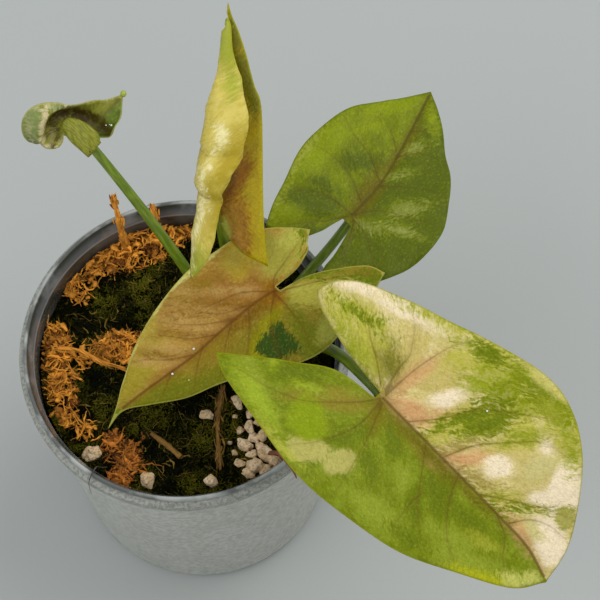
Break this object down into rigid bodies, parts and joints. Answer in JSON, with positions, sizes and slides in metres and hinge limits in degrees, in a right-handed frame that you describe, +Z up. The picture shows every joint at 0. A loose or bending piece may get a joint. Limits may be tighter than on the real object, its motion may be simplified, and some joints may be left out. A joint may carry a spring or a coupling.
{
  "type": "potted arrowhead plant",
  "caption": "Young variegated arrowhead plant with broad arrow-shaped leaves on slender petioles, rooted in moss and fibre in a clear tapered nursery pot.",
  "frame": {"origin": "centre of the pot's flat base, where it stands", "axes": "+Z up along the pot's axis, +X to the right and -Y towards the viewer of the reference picture"},
  "size_m": [0.1513, 0.1415, 0.1924],
  "materials": {
    "clear_plastic": "frosted clear plastic",
    "growing_mix": "dark fibrous potting mix",
    "moss": "dark matted moss",
    "stem": "green stem",
    "petiole": "smooth green petiole",
    "leaf_front": "satin green and cream blade",
    "leaf_middle": "satin pink-brown blade",
    "leaf_back": "satin green blade",
    "leaf_upright": "glossy golden blade",
    "leaf_small": "glossy young green blade",
    "fibre": "rough orange-brown fibre",
    "pumice": "rough pale mineral grain",
    "husk": "dry brown husk",
    "root_hair": "thin dark root"
  },
  "bodies": {
    "root": {"pot": "clear_plastic", "growing_mix": "growing_mix", "moss": "moss", "stem": "stem", "petiole_front": "petiole", "petiole_middle": "petiole", "petiole_back": "petiole", "petiole_upright": "petiole", "petiole_small": "petiole", "leaf_front": "leaf_front", "leaf_middle": "leaf_middle", "leaf_back": "leaf_back", "leaf_upright": "leaf_upright", "leaf_small": "leaf_small", "fibre_back": "fibre", "fibre_left": "fibre", "fibre_middle": "fibre", "pumice_heap": "pumice", "grain_front": "pumice", "grain_left": "pumice", "grain_right": "pumice", "grain_middle": "pumice", "husk_left": "husk", "husk_middle": "husk", "husk_front": "husk", "stick": "husk", "brown_strand": "fibre", "dry_sheath_tip": "husk", "stray_root": "root_hair"}
  },
  "joints": []
}
